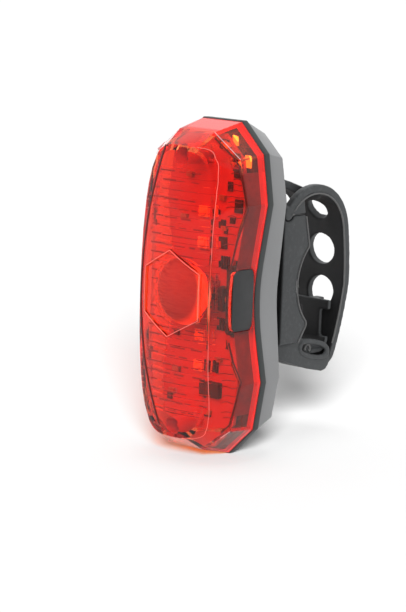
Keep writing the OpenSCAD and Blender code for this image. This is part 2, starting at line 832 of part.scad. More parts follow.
module saddle() {
    lip_up = [lip_y, seat_c.y + lip_span / 2];
    lip_down = [lip_y, seat_c.y - lip_span / 2];
    meet = seat_r / (seat_r + lip_r);
    color("black") stand() across(strap_w) difference() {
        union() {
            polygon([[bracket_back, -foot_z], [lip_y - foot_in, -foot_z],
                     lip_down + lip_r * [cos(lip_turn_down), sin(lip_turn_down)],
                     seat_c + meet * (lip_down - seat_c), seat_c + meet * (lip_up - seat_c),
                     lip_up + lip_r * [cos(lip_turn_up), sin(lip_turn_up)],
                     [root.x + cheek_l, saddle_top], [bracket_back, saddle_top]]);
            translate(lip_up) circle(lip_r);
            translate(lip_down) circle(lip_r);
        }
        translate(seat_c) circle(seat_r, $fn = 128);
        translate(root) circle(bead_d / 2 + slip);
    }
}

// A point on the middle of the strap, s along from the heel, with its turn
function strap_at(s) =
    let (on_back = s < back_l,
         a = on_back ? back_end + s / back_mid * 180 / PI : arch_end + (s - back_l) / arch_mid * 180 / PI,
         p = on_back ? back_c + back_mid * [cos(a), sin(a)] : arch_c + arch_mid * [cos(a), sin(a)])
    [p.x, p.y, a];

function strap_side(t) =
    concat(arc(arch_c, arch_r - t, arch_start, arch_end, arc_steps),
           arc(back_c, back_r - t, arch_end, back_end, arc_steps),
           arc(heel_c, heel_r - t, back_end, -quarter, arc_steps),
           [heel_c + [-tail_l, t - heel_r]]);

// Cheeks that thicken the strap's two legs down to the saddle
cheek_l = 7.2;
cheek_start = 112;
leg_w = (strap_w - slot_w) / 2;
slot_gap = 0.4;
flare_start = 2;
flare_end = 17;
taper_z = -3;

module cheeks() {
    low = saddle_top + lens_gap;
    for (x = [-1, 1]) translate([x * (strap_w - leg_w) / 2, 0, 0]) across(leg_w)
        polygon(concat(arc(arch_c, arch_mid, cheek_start, arch_start, arc_steps),
                       [[root.x, low], [root.x + cheek_l, low]]));
}

module root_slot() {
    top = back_l + arch_l - bead_d / 2 - slot_gap;
    from = strap_at(top).z;
    end = strap_at(top - slot_l + slot_w / 2);
    across(slot_w) polygon(concat(arc(arch_c, arch_r + past, from, end.z, arc_steps),
                                  arc(arch_c, arch_r - strap_t - past, end.z, from, arc_steps)));
    translate([0, end.x, end.y]) rotate([end.z - quarter, 0, 0])
        cylinder(h = 3 * strap_t, d = slot_w, center = true);
}

// Plan of the strap, which widens from its root to its back
module strap_plan() {
    w = strap_w / 2;
    wide = w + flare_out;
    start = root.x + flare_start;
    end = root.x + flare_end;
    back = arch_c.x + 2 * arch_r;
    polygon([[-w, 0], [w, 0], [w, start], [wide, end], [wide, back],
             [-wide, back], [-wide, end], [-w, start]]);
}

// The strap seen from behind, which narrows below its lowest hole
module strap_back() {
    wide = strap_w / 2 + flare_out;
    top = rim_h / 2;
    end = heel_c.y - heel_r;
    polygon([[-wide, top], [wide, top], [wide, taper_z], [end_w / 2, end],
             [-end_w / 2, end], [-wide, taper_z]]);
}

module strap() {
    color("black") stand() difference() {
        union() {
            intersection() {
                across(strap_w + 2 * flare_out) polygon(concat(strap_side(0), reversed(strap_side(strap_t))));
                translate([0, 0, -rim_h / 2]) linear_extrude(height = rim_h) strap_plan();
                slab(0, arch_c.x + 2 * arch_r) strap_back();
            }
            across(strap_w) translate(root) circle(bead_d / 2);
            cheeks();
        }
        root_slot();
        for (hole = hole_places) {
            p = strap_at(hole[0]);
            translate([0, p.x, p.y]) rotate([p.z - quarter, 0, 0])
                cylinder(h = 3 * strap_t, d = hole[1], center = true);
        }
    }
}

// Hook: a chin under the saddle, a cup, an upright tongue and a finger into the strap's lowest hole
hook_at = strap_at(first_hole);
hook_gap = 2.4;
cup_l = 12;
cup_back = hook_at.x - strap_t / 2 - hook_gap;
cup_front = cup_back - cup_l;
cup_z = -foot_z - cup_drop;
tongue_drop = 1.5;
tongue_top = hook_at.y - tongue_drop;
head_h = 2.6;
tail_gap = 0.4;
chin_l = 7;
chin_end = heel_c.x - tail_l - tail_gap;
chin_z = heel_c.y - heel_r + tail_gap;
chin_tip = 1;
finger_in = 0.5;

module cup_shape(t) {
    for (y = [cup_front + cup_r, cup_back - cup_r]) translate([y, cup_z]) circle(cup_r - t);
    translate([cup_front + cup_r, cup_z - cup_r + t]) square([cup_l - 2 * cup_r, cup_r]);
}

module cup() {
    difference() {
        union() {
            intersection() {
                cup_shape(0);
                translate([cup_front, cup_z - cup_r]) square([cup_l, cup_r]);
            }
            translate([cup_front, cup_z]) square([hook_t, cup_drop]);
        }
        cup_shape(hook_t);
    }
}

module chin() {
    difference() {
        polygon([[bracket_back, -foot_z], [bracket_back, -bracket_foot],
                 [bracket_back + chin_l, chin_z + chin_t], [chin_end - cup_r, chin_z + chin_tip],
                 [chin_end, chin_z], [chin_end, cup_z - cup_r + hook_t], [cup_front + cup_r, -foot_z]]);
        cup_shape(hook_t);
    }
}

module hook() {
    color("black") stand() {
        across(cup_w) cup();
        across(chin_w) chin();
        across(tongue_w) translate([cup_back - hook_t, cup_z]) square([hook_t, tongue_top - cup_z]);
        across(head_w) translate([cup_back - hook_t, tongue_top - head_h]) square([hook_t, head_h]);
        across(finger_w) translate([cup_back - hook_t / 2, tongue_top - finger_t])
            square([hook_t / 2 + hook_gap + finger_in, finger_t]);
    }
}

lens();
prism_insert();
collimator();
circuit_board();
centre_led();
small_leds();
driver_chip();
chip_parts();
switch_body();
switch_plunger();
button();
board_screws();
seal();
housing();
battery_tray();
cell_right();
cell_left();
battery_springs();
positive_contact();
negative_contact();
series_bridge();
solder_tabs();
bracket();
bracket_screws();
saddle();
hook();
strap();
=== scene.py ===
"""Bicycle rear light with a rubber strap mount: its finishes, rounded pieces, studio and camera."""

import logging
import random
from collections.abc import Iterator
from contextlib import contextmanager
from dataclasses import dataclass
from enum import Enum
from functools import cache
from math import atan2, copysign, cos, hypot, radians, sin, tau

import bmesh
import bpy
from mathutils import Matrix, Vector
from mathutils.bvhtree import BVHTree
from mathutils.geometry import intersect_line_line_2d


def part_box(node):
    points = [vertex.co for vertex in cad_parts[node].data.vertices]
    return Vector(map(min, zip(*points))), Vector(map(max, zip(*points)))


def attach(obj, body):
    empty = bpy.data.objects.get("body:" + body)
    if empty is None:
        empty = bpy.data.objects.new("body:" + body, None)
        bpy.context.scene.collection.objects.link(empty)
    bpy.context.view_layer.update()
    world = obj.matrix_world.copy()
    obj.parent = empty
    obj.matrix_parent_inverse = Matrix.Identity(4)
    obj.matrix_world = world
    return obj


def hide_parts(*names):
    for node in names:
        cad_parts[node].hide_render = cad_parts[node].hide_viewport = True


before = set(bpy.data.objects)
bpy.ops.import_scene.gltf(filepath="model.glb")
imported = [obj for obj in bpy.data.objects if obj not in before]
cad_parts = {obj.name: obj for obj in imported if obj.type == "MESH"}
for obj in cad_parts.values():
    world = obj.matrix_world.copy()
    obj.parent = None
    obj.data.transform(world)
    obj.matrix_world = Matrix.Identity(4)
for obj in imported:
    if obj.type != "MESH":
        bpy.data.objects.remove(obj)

LOG = logging.getLogger("rear_light")
MM = 0.001
WELD = 0.001 * MM
Pair = tuple[float, float]
Colour = Triple = tuple[float, float, float]
Key = str | int
Sockets = dict[str, str]
Route = list[Vector]
Mesh = bpy.types.Mesh
Node = bpy.types.Node
Piece = bpy.types.Object
Socket = bpy.types.NodeSocket
Tree = bpy.types.NodeTree
LENS_LOW, LENS_HIGH = (Vector(corner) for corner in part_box("lens"))
RIM_Y = LENS_HIGH.y
MID_Z = (LENS_LOW.z + LENS_HIGH.z) / 2


class Body(Enum):
    """The bodies that the pieces ride on."""

    REAR = "rear"
    FRONT = "front_module"
    BUTTON = "push_button"
    STRAP = "strap_band"


def oval(turn: float, wide: float, tall: float, power: float) -> Pair:
    """A point on a rounded oval.

    Args:
        turn: How far round the oval the point lies, in radians.
        wide: Half the oval's width.
        tall: Half its height.
        power: 1 for an ellipse, and less for squarer corners.

    Returns:
        The point's place across and up.
    """
    c, s = cos(turn), sin(turn)
    return copysign(abs(c) ** power, c) * wide, copysign(abs(s) ** power, s) * tall


@dataclass
class Sheet:
    """A node tree with short calls to add nodes and link them."""

    tree: Tree
    prefix: str = "ShaderNode"
    mix_first: int = 6
    mix_second: int = 7
    mix_result: int = 2

    @classmethod
    def group(cls, name: str, prefix: str, inputs: Sockets, outputs: Sockets) -> tuple["Sheet", Node, Node]:
        """Starts a node group.

        Args:
            name: The group's name.
            prefix: How the type names of its tree and nodes start.
            inputs: Its inputs, with their socket types.
            outputs: Its outputs, with their socket types.

        Returns:
            The group's sheet, its input node and its output node.
        """
        tree = bpy.data.node_groups.new(name, f"{prefix}Tree")
        for way, sockets in (("INPUT", inputs), ("OUTPUT", outputs)):
            for key, socket in sockets.items():
                tree.interface.new_socket(key, in_out=way, socket_type=f"NodeSocket{socket}")
        return cls(tree, prefix), tree.nodes.new("NodeGroupInput"), tree.nodes.new("NodeGroupOutput")

    def add(self, kind: str, values: dict[Key, object] | None = None, **settings: object) -> Node:
        """Adds one node.

        Args:
            kind: Its type name, without the prefix.
            values: Values for its inputs, by socket.
            settings: Properties of the node itself.

        Returns:
            The new node.
        """
        made = self.tree.nodes.new(self.prefix + kind)
        for key, value in settings.items():
            setattr(made, key, value)
        for key, value in (values or {}).items():
            made.inputs[key].default_value = value
        return made

    def link(self, source: Socket, target: Socket) -> None:
        """Links an output to an input."""
        self.tree.links.new(source, target)

    def wire(self, *links: tuple[Node, Key, Node, Key]) -> None:
        """Links nodes, each link given as a node, its output, the next node and its input."""
        for source, out, target, given in links:
            self.link(source.outputs[out], target.inputs[given])

    def give(self, target: Socket, colour: Colour | Socket) -> None:
        """Gives an input a colour.

        Args:
            target: The input.
            colour: The colour, which may vary.
        """
        if isinstance(colour, Socket):
            self.link(colour, target)
        else:
            target.default_value = (*colour, 1.0)

    def ramp(self, source: Socket, levels: Pair, span: Pair = (0.3, 0.7)) -> Socket:
        """Maps a varying value, such as a noise, onto a range.

        Args:
            source: The value.
            levels: The results at the start and the end of the value's span.
            span: Where the value starts and ends.

        Returns:
            The mapped value.
        """
        made = self.add("MapRange")
        for key, value in zip(("From Min", "From Max", "To Min", "To Max"), (*span, *levels)):
            made.inputs[key].default_value = value
        self.link(source, made.inputs["Value"])
        return made.outputs["Result"]

    def tint(self, share: Socket, a: Colour | Socket, b: Colour) -> Socket:
        """Mixes two colours.

        Args:
            share: The varying share of the second colour.
            a: The first colour.
            b: The second colour.

        Returns:
            The mixed colour.
        """
        made = self.add("Mix", data_type="RGBA")
        self.link(share, made.inputs["Factor"])
        self.give(made.inputs[self.mix_first], a)
        self.give(made.inputs[self.mix_second], b)
        return made.outputs[self.mix_result]

    def principled(self, tone: Colour | Socket, gloss: Socket, values: dict[Key, object]) -> Node:
        """Adds a Principled shader.

        Args:
            tone: Its colour.
            gloss: Its roughness.
            values: Values for its other inputs, by socket.

        Returns:
            The shader's node.
        """
        made = self.add("BsdfPrincipled", values)
        self.give(made.inputs["Base Color"], tone)
        self.link(gloss, made.inputs["Roughness"])
        return made


class Texture(Enum):
    """Noise that several finishes share, as shader groups with a name, a detail and a roughness."""

    MOTTLE = ("broad mottle", 4.0, 0.6)
    GRAIN = ("spark-eroded grain", 2.0, 0.5)
    MARKS = ("handling marks", 5.0, 0.7)

    @cache
    def group(self) -> Tree:
        """Makes the texture's group, once.

        Returns:
            The group.
        """
        name, detail, rough = self.value
        sizes = {"Scale": "Float", "Stretch": "Float"}
        sheet, given, out = Sheet.group(name, "ShaderNode", sizes, {"Level": "Float"})
        place = sheet.add("TexCoord")
        stretch = sheet.add("VectorMath", operation="MULTIPLY")
        factors = sheet.add("CombineXYZ", {"X": 1.0, "Y": 1.0})
        noise = sheet.add("TexNoise", {"Detail": detail, "Roughness": rough})
        sheet.wire((place, "Object", stretch, 0), (given, "Stretch", factors, "Z"),
                   (factors, "Vector", stretch, 1), (stretch, "Vector", noise, "Vector"),
                   (given, "Scale", noise, "Scale"), (noise, "Fac", out, "Level"))
        return sheet.tree

    def on(self, sheet: Sheet, scale: float = 300.0, stretch: float = 8.0) -> Socket:
        """The texture's level on a sheet, at a scale and stretched along z."""
        made = sheet.add("Group", {"Scale": scale, "Stretch": stretch}, node_tree=self.group())
        return made.outputs["Level"]


@dataclass(frozen=True)
class Finish:
    """A finish, with a name that no material of the frame has. Each kind fills its own sheet."""

    name: str

    @cache
    def material(self) -> bpy.types.Material:
        """Makes the material, once.

        Returns:
            The material with the finish's name.
        """
        made = bpy.data.materials.new(self.name)
        made.use_nodes = True
        made.node_tree.nodes.clear()
        sheet = Sheet(made.node_tree)
        sheet.wire((self.fill(sheet), 0, sheet.add("OutputMaterial"), "Surface"))
        return made

    def fill(self, sheet: Sheet) -> Node:
        """Puts the nodes of this finish on a sheet and gives the shader."""
        raise NotImplementedError


@dataclass(frozen=True)
class Moulded(Finish):
    """Rubber or plastic: two close tones and a gloss that a noise varies, over a fine grain."""

    light: Colour
    dark: Colour
    gloss: Pair
    scale: float = 220.0
    grain_scale: float = 5000.0
    grain_depth: float = 0.02 * MM
    grain_strength: float = 0.35
    specular: float = 0.5
    glow: float = 0.0
    noise: Texture = Texture.MOTTLE
    stretch: float = 1.0
    transmission: float = 0.0
    ior: float = 1.5

    def tone(self, sheet: Sheet, level: Socket) -> Socket:
        """The colour, from the noise's level."""
        return sheet.tint(level, self.dark, self.light)

    def fill(self, sheet: Sheet) -> Node:
        """Puts the surface on a sheet.

        Args:
            sheet: The material's sheet.

        Returns:
            The shader.
        """
        level = self.noise.on(sheet, self.scale, self.stretch)
        tone = self.tone(sheet, level)
        bsdf = sheet.principled(tone, sheet.ramp(level, self.gloss), {
            "Specular IOR Level": self.specular, "Emission Strength": self.glow,
            "Transmission Weight": self.transmission, "IOR": self.ior})
        sheet.link(tone, bsdf.inputs["Emission Color"])
        if self.grain_strength:
            bump = sheet.add("Bump", {"Strength": self.grain_strength, "Distance": self.grain_depth})
            sheet.link(Texture.GRAIN.on(sheet, self.grain_scale, 1.0), bump.inputs["Height"])
            sheet.wire((bump, "Normal", bsdf, "Normal"))
        return bsdf


@dataclass(frozen=True)
class DustyShadedRubber(Moulded):
    """Dusty moulded rubber with a painted shade: its inner side is darker, as its inside attribute says."""

    # The painted shade on the side that faces into the strap's loop.
    inner: Colour = (0.008, 0.008, 0.0085)
    dust: Colour = (0.15, 0.155, 0.16)
    dusty: float = 0.3
    dust_scale: float = 900.0
    dust_span: Pair = (0.5, 0.8)

    def tone(self, sheet: Sheet, level: Socket) -> Socket:
        """The rubber's tone with dust on it, mixed with the painted shade of its inner side.

        Args:
            sheet: The material's sheet.
            level: The level of the noise.

        Returns:
            The colour.
        """
        dust = sheet.ramp(Texture.MARKS.on(sheet, self.dust_scale, 1.0), (0.0, self.dusty), self.dust_span)
        outer = sheet.tint(dust, super().tone(sheet, level), self.dust)
        # Painted shade: the inner tone takes over where the inside attribute is high.
        return sheet.tint(sheet.add("Attribute", attribute_name="inside").outputs["Fac"], outer, self.inner)


@dataclass(frozen=True)
class Clear(Finish):
    """Clear coloured plastic that lets tinted light through to what is behind it."""

    colour: Colour
    through: Colour
    gloss: Pair = (0.02, 0.05)
    ior: float = 1.49
    mark_span: Pair = (0.35, 0.7)

    def fill(self, sheet: Sheet) -> Node:
        """Puts the clear plastic on a sheet.

        Args:
            sheet: The material's sheet.

        Returns:
            The shader.
        """
        gloss = sheet.ramp(Texture.MARKS.on(sheet), self.gloss, self.mark_span)
        bsdf = sheet.principled(self.colour, gloss, {"IOR": self.ior, "Transmission Weight": 1.0})
        through = sheet.add("BsdfTransparent", {"Color": (*self.through, 1.0)})
        path = sheet.add("LightPath")
        mix = sheet.add("MixShader")
        sheet.wire((path, "Is Shadow Ray", mix, "Fac"), (bsdf, "BSDF", mix, 1), (through, "BSDF", mix, 2))
        return mix


@dataclass(frozen=True)
class Frosted(Moulded):
    """Coloured plastic whose frosted face has handling marks and lets a little light through."""

    gloss: Pair = (0.35, 0.55)
    scale: float = 300.0
    grain_strength: float = 0.0
    noise: Texture = Texture.MARKS
    stretch: float = 8.0
    transmission: float = 0.25
    ior: float = 1.2


@dataclass(frozen=True)
class Dome(Finish):
    """The bull's-eye: a deep red dome with a bright crescent where light gathers at one side."""

    deep: Colour
    bright: Colour
    centre: Triple
    inner_r: float
    outer_r: float
    gloss: Pair = (0.2, 0.35)
    specular: float = 0.3

    def fill(self, sheet: Sheet) -> Node:
        """Puts the dome's tones on a sheet.

        Args:
            sheet: The material's sheet.

        Returns:
            The shader.
        """
        place = sheet.add("TexCoord")
        flat = sheet.add("VectorMath", {1: (1.0, 0.0, 1.0)}, operation="MULTIPLY")
        reach = sheet.add("VectorMath", {1: self.centre}, operation="DISTANCE")
        sheet.wire((place, "Object", flat, 0), (flat, "Vector", reach, 0))
        share = sheet.ramp(reach.outputs["Value"], (0.0, 1.0), (self.inner_r, self.outer_r))
        gloss = sheet.ramp(Texture.MARKS.on(sheet), self.gloss)
        tone = sheet.tint(share, self.deep, self.bright)
        return sheet.principled(tone, gloss, {"Specular IOR Level": self.specular})


@dataclass(frozen=True)
class Plain(Finish):
    """An even finish, for the board and the small metal parts."""

    colour: Colour
    rough: float
    metallic: float = 0.0

    def fill(self, sheet: Sheet) -> Node:
        """Puts one Principled shader on a sheet and gives it."""
        values = {"Base Color": (*self.colour, 1.0), "Roughness": self.rough, "Metallic": self.metallic}
        return sheet.add("BsdfPrincipled", values)


RED_LENS = Clear("red lens", (0.985, 0.15, 0.05), (0.99, 0.55, 0.33), ior=1.4)
RED_INSERT = Clear("red insert", (0.99, 0.8, 0.65), (0.99, 0.95, 0.9), (0.05, 0.1), 1.12)
RED_EYE = Dome("red eye", (0.26, 0.075, 0.06), (1.0, 0.5, 0.12), (-1.9 * MM, 0.0, MID_Z + 0.6 * MM),
               inner_r=7.6 * MM, outer_r=9.4 * MM)
RED_RIM = Frosted("frosted rim", (0.95, 0.05, 0.035), (0.85, 0.03, 0.025))
RED_POST = Frosted("post walls", (0.75, 0.035, 0.02), (0.6, 0.02, 0.015), transmission=0.4)
RIM_SHADE = Frosted("flank shade", (0.5, 0.055, 0.05), (0.06, 0.026, 0.029), scale=260.0, stretch=1.0)
# Painted highlight: pale beads where light catches the lens's corner edges.
GLINT = Moulded("painted edge glint", (0.5, 0.3, 0.3), (0.42, 0.22, 0.22), (0.1, 0.2), 300.0)
# Painted highlight: pale beads along the hexagon and the right half of the ridge.
LINE_HIGHLIGHT = Moulded("raised line", (0.8, 0.18, 0.14), (0.7, 0.12, 0.09), (0.15, 0.25), 300.0)
EDGE_SHADE = Moulded("edge shade", (0.09, 0.008, 0.007), (0.05, 0.005, 0.005), (0.3, 0.4), 300.0)
# Painted shade: dark dashes along the ribs of the insert and the slopes.
RIB_SHADE = Moulded("rib shade", (0.2, 0.012, 0.008), (0.1, 0.006, 0.005), (0.3, 0.4), 700.0)
BOARD = Plain("board mask", (0.4196, 0.051, 0.0392), 0.7)
LED_DOME = Moulded("led dome", (0.95, 0.85, 0.45), (0.9, 0.75, 0.3), (0.12, 0.2))
CHIP = Moulded("chip epoxy", (0.03, 0.03, 0.032), (0.018, 0.018, 0.02), (0.4, 0.6), 800.0)
CHIP_PART = Moulded("chip ends", (0.35, 0.3, 0.25), (0.2, 0.16, 0.12), (0.3, 0.5), 900.0)
BRASS = Plain("plated brass", (0.7804, 0.549, 0.1608), 0.3, 0.9)
# Painted light: the lead ends glow, though they are no lamp, so they show yellow through the red lens.
LEAD_GLOW = Moulded("glowing lead ends", (1.0, 0.75, 0.1), (0.95, 0.6, 0.08), (0.2, 0.3), 900.0, glow=2.2)
STEEL = Plain("plated steel", (0.6196, 0.6196, 0.6), 0.4, 0.9)
SEAL = Moulded("seal rubber", (0.03, 0.034, 0.034), (0.02, 0.023, 0.023), (0.45, 0.6))
HOUSING = Moulded("satin grey", (0.215, 0.218, 0.222), (0.19, 0.193, 0.197), (0.36, 0.46), 90.0, 6000.0,
                  0.012 * MM)
TRAY = Moulded("tray plastic", (0.06, 0.055, 0.056), (0.045, 0.042, 0.043), (0.35, 0.5))
BUTTON = Moulded("button rubber", (0.014, 0.015, 0.016), (0.009, 0.01, 0.011), (0.38, 0.5), 400.0)
# The strap rubber's dust is its own; its darker inner side is painted shade.
RUBBER = DustyShadedRubber("strap rubber", (0.06, 0.0635, 0.066), (0.042, 0.0445, 0.0465), (0.5, 0.65), 180.0, 4500.0,
              0.03 * MM, specular=0.35)
# Mould flash, drawn lighter than the rubber as a painted highlight along the edges.
FLASH_HIGHLIGHT = Moulded("mould flash highlight", (0.13, 0.13, 0.13), (0.07, 0.07, 0.07), (0.35, 0.5), 500.0)
SLEEVE = Moulded("cell sleeve", (0.08, 0.22, 0.3), (0.06, 0.18, 0.26), (0.2, 0.3))
FLOOR = Moulded("pale floor", (0.205, 0.205, 0.205), (0.2, 0.2, 0.2), (0.8, 0.9), 3.0, 400.0)

FINISHED_NODES: dict[Finish, str] = {
    RED_LENS: "lens", RED_INSERT: "prism_insert", RED_EYE: "collimator", BOARD: "circuit_board",
    LED_DOME: "centre_led small_leds", CHIP: "driver_chip switch_body", BRASS: "solder_tabs",
    CHIP_PART: "chip_parts switch_plunger", BUTTON: "button", SEAL: "seal", HOUSING: "housing",
    TRAY: "battery_tray",
    STEEL: "board_screws bracket_screws battery_springs positive_contact negative_contact series_bridge",
    SLEEVE: "cell_right cell_left", RUBBER: "bracket saddle hook strap",
}


def dress_nodes() -> None:
    """Gives each CAD node its finish."""
    for finish, nodes in FINISHED_NODES.items():
        for node in nodes.split():
            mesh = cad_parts[node].data
            mesh.materials.clear()
            mesh.materials.append(finish.material())
            LOG.info("node %s: %s", node, finish.name)


class Forge:
    """Mesh helpers that the sub-assemblies share."""

    flat_turn = 0.4
    ease_steps = 3

    @staticmethod
    @contextmanager
    def edit(mesh: Mesh) -> Iterator[bmesh.types.BMesh]:
        """Opens a mesh for editing, and writes it back at the end.

        Args:
            mesh: The mesh that is edited.

        Yields:
            The open mesh.
        """
        work = bmesh.new()
        work.from_mesh(mesh)
        yield work
        work.to_mesh(mesh)
        work.free()

    @staticmethod
    def add(name: str, data: bpy.types.ID) -> Piece:
        """Puts a mesh, a lamp or a camera into the scene.

        Args:
            name: The object's name.
            data: What it shows.

        Returns:
            The new object, at the origin.
        """
        data.name = name
        made = bpy.data.objects.new(name, data)
        bpy.context.scene.collection.objects.link(made)
        return made

    @classmethod
    def merged(cls, node: str) -> Mesh:
        """A copy of a CAD node's mesh with its corners joined.

        Args:
            node: The node's name.

        Returns:
            The joined mesh.
        """
        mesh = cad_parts[node].data.copy()
        with cls.edit(mesh) as work:
            bmesh.ops.remove_doubles(work, verts=work.verts, dist=WELD)
            turn = radians(cls.flat_turn)
            bmesh.ops.dissolve_limit(work, angle_limit=turn, verts=work.verts, edges=work.edges)
        return mesh

    @staticmethod
    def bake(piece: Piece) -> None:
        """Turns a piece's modifiers into its plain mesh.

        Args:
            piece: The piece with the modifiers.
        """
        graph = bpy.context.evaluated_depsgraph_get()
        graph.update()
        mesh = bpy.data.meshes.new_from_object(piece.evaluated_get(graph))
        piece.modifiers.clear()
        old, piece.data = piece.data, mesh
        bpy.data.meshes.remove(old)

    @classmethod
    def creases(cls, mesh: Mesh, degrees: float) -> None:
        """Shades a mesh smooth, with edges sharper than an angle kept crisp.

        Args:
            mesh: The mesh to shade.
            degrees: The angle between faces above which an edge stays crisp.
        """
        with cls.edit(mesh) as work:
            for face in work.faces:
                face.smooth = True
            for edge in work.edges:
                edge.smooth = edge.is_manifold and edge.calc_face_angle(0.0) < radians(degrees)

    @classmethod
    def sharp(cls, node: str, degrees: float) -> Iterator[tuple[Vector, Vector, list[Vector]]]:
        """Finds the sharp edges of a CAD node.

        Args:
            node: The node's name.
            degrees: The angle between faces from which an edge is sharp.

        Yields:
            Each edge's two ends, and the normals of its faces.
        """
        with cls.edit(cls.merged(node)) as work:
            for edge in work.edges:
                if edge.is_manifold and edge.calc_face_angle(0.0) >= radians(degrees):
                    a, b = (vert.co.copy() for vert in edge.verts)
                    yield a, b, [face.normal.copy() for face in edge.link_faces]

    @classmethod
    def ease(cls, piece: Piece, width: float, degrees: float = 30.0, crease: float = 30.0) -> Piece:
        """Eases a piece's sharp edges.

        Args:
            piece: The piece.
            width: The width of an eased edge.
            degrees: The angle between faces above which an edge is eased.
            crease: The angle above which an edge then stays crisp.

        Returns:
            The same piece.
        """
        bevel = piece.modifiers.new("bevel", "BEVEL")
        bevel.width = width
        bevel.segments = cls.ease_steps
        bevel.limit_method = "ANGLE"
        bevel.angle_limit = radians(degrees)
        cls.bake(piece)
        cls.creases(piece.data, crease)
        return piece


class Face:
    """The outside of a CAD node, to lay lines and marks on."""

    inwards = Vector((0.0, 1.0, 0.0))
    stand_off = 1.0
    skip = 0.05 * MM

    def __init__(self, node: str) -> None:
        """Keeps a search tree of the node's mesh.

        Args:
            node: The node's name.
        """
        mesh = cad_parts[node].data
        self.tree = BVHTree.FromPolygons([vert.co.copy() for vert in mesh.vertices],
                                         [list(face.vertices) for face in mesh.polygons])
        self.low, self.high = (Vector(corner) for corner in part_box(node))

    def front(self, x: float, z: float) -> Vector | None:
        """The front point of the node at a place, or None where it has no face there."""
        return self.tree.ray_cast(Vector((x, self.low.y - self.stand_off, z)), self.inwards)[0]

    def behind(self, point: Vector) -> Vector | None:
        """The far side of the node's wall behind a point on its front, or None where there is none."""
        return self.tree.ray_cast(point + self.inwards * self.skip, self.inwards)[0]


@dataclass(frozen=True)
class Part:
    """A visible piece, with the ways to make it and to settle it."""

    name: str
    finish: Finish
    slot: str
    body: Body = Body.FRONT
    ring_sides: int = 10

    def settle(self, piece: Piece, *nodes: str) -> None:
        """Gives a finished piece its material and body, and hides the CAD nodes that it stands for.

        Args:
            piece: The finished piece.
            nodes: The CAD nodes that it stands for.
        """
        piece.data.materials.clear()
        piece.data.materials.append(self.finish.material())
        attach(piece, self.body.value)
        if nodes:
            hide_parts(*nodes)
        faces = len(piece.data.polygons)
        LOG.info("piece %s on %s: %s, %d faces", piece.name, self.body.value, self.finish.name, faces)

    def eased(self, width: float) -> None:
        """Stands in for the CAD node with the slot's name, with sharp edges eased to a width."""
        piece = Forge.add(self.name, Forge.merged(self.slot))
        self.settle(Forge.ease(piece, width), self.slot)

    @staticmethod
    def _tree(name: str, **inputs: str) -> tuple[Sheet, Node, Node]:
        """Starts a tree that ends with Realize Instances and Set Material.

        Args:
            name: The tree's name.
            inputs: Its inputs, with their socket types.

        Returns:
            The tree's sheet, its input node and the node that takes the new geometry.
        """
        inputs["Finish"] = "Material"
        sheet, given, out = Sheet.group(name, "GeometryNode", inputs, {"Geometry": "Geometry"})
        real = sheet.add("RealizeInstances")
        dress = sheet.add("SetMaterial")
        sheet.wire((real, "Geometry", dress, "Geometry"), (given, "Finish", dress, "Material"),
                   (dress, "Geometry", out, "Geometry"))
        return sheet, given, real

    @classmethod
    @cache
    def _bead(cls) -> Tree:
        """Makes the tree of a round bead that follows a path, once.

        Returns:
            The tree.
        """
        sheet, given, real = cls._tree("bead on a path", Path="Geometry", Radius="Float")
        curve = sheet.add("MeshToCurve")
        ring = sheet.add("CurvePrimitiveCircle", {"Resolution": cls.ring_sides})
        sweep = sheet.add("CurveToMesh", {"Fill Caps": True})
        smooth = sheet.add("SetShadeSmooth")
        sheet.wire((given, "Path", curve, "Mesh"), (given, "Radius", ring, "Radius"),
                   (curve, "Curve", sweep, "Curve"), (ring, "Curve", sweep, "Profile Curve"),
                   (sweep, "Mesh", smooth, "Geometry"), (smooth, "Geometry", real, "Geometry"))
        return sheet.tree

    @classmethod
    @cache
    def _block(cls) -> Tree:
        """Makes the tree of small blocks at points, each as large as its size attribute says, once.

        Returns:
            The tree.
        """
        sheet, given, real = cls._tree("blocks at points", Points="Geometry")
        cube = sheet.add("MeshCube", {"Size": (1.0, 1.0, 1.0)})
        size = sheet.add("InputNamedAttribute", {"Name": "size"}, data_type="FLOAT_VECTOR")
        place = sheet.add("InstanceOnPoints")
        sheet.wire((given, "Points", place, "Points"), (cube, "Mesh", place, "Instance"),
                   (size, "Attribute", place, "Scale"), (place, "Instances", real, "Geometry"))
        return sheet.tree

    def _grow(self, carrier: Mesh, tree: Tree, **values: object) -> None:
        """Runs a tree on a carrier, and settles the result as a plain mesh.

        Args:
            carrier: The mesh that the tree starts from.
            tree: The tree.
            values: Values for its inputs, by name.
        """
        piece = Forge.add(self.name, carrier)
        grow = piece.modifiers.new("grow", "NODES")
        grow.node_group = tree
        values["Finish"] = self.finish.material()
        for item in tree.interface.items_tree:
            if item.in_out == "INPUT" and item.name in values:
                grow[item.identifier] = values[item.name]
        Forge.bake(piece)
        self.settle(piece)

    def beads(self, radius: float, routes: list[Route]) -> None:
        """Lays round beads along routes.

        Args:
            radius: The beads' radius.
            routes: The routes. One that closes on itself ends where it starts.
        """
        carrier = bpy.data.meshes.new(self.name)
        with Forge.edit(carrier) as work:
            for points in routes:
                verts = [work.verts.new(point) for point in points]
                for pair in zip(verts, verts[1:]):
                    work.edges.new(pair)
            bmesh.ops.remove_doubles(work, verts=work.verts, dist=WELD)
        self._grow(carrier, self._bead(), Radius=radius)

    def blocks(self, places: list[tuple[Vector, Vector]]) -> None:
        """Sets small blocks.

        Args:
            places: Each block's centre and size.
        """
        carrier = bpy.data.meshes.new(self.name)
        carrier.from_pydata([place for place, _ in places], [], [])
        sizes = carrier.attributes.new("size", "FLOAT_VECTOR", "POINT")
        for row, (_, size) in zip(sizes.data, places):
            row.vector = size
        self._grow(carrier, self._block())


